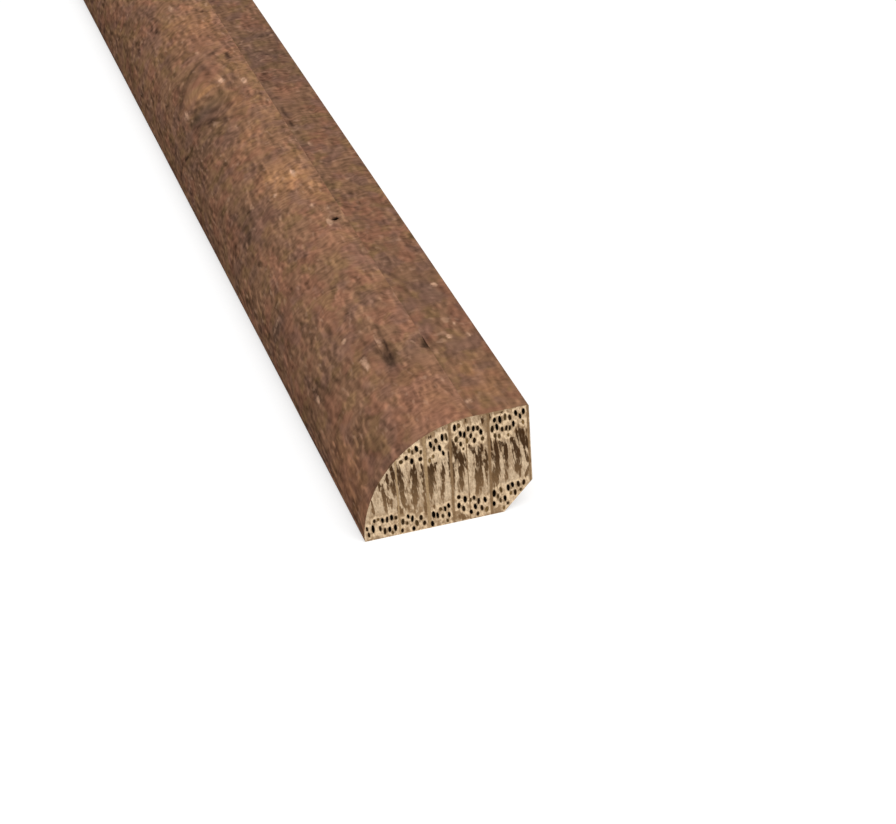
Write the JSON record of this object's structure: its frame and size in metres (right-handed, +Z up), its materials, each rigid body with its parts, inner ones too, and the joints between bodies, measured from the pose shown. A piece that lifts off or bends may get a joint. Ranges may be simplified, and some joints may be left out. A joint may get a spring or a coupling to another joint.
{
  "type": "shoe moulding",
  "caption": "Straight stick of solid hardwood shoe moulding with a rounded face, a flat land and a bevelled back corner, which covers the gap where a baseboard meets the floor.",
  "frame": {"origin": "under the middle of the stick's length and width, on the wide face that it lies on", "axes": "+Y along the stick, +X across it towards the short face that sits on the floor in use, +Z up out of the wide face"},
  "size_m": [0.019, 1.9812, 0.0127],
  "materials": {
    "stained_hardwood": "satin brown stain on the round and the land, raw wood on the hidden faces and the cut ends"
  },
  "bodies": {
    "root": {"shoe_moulding": "stained_hardwood"}
  },
  "joints": []
}
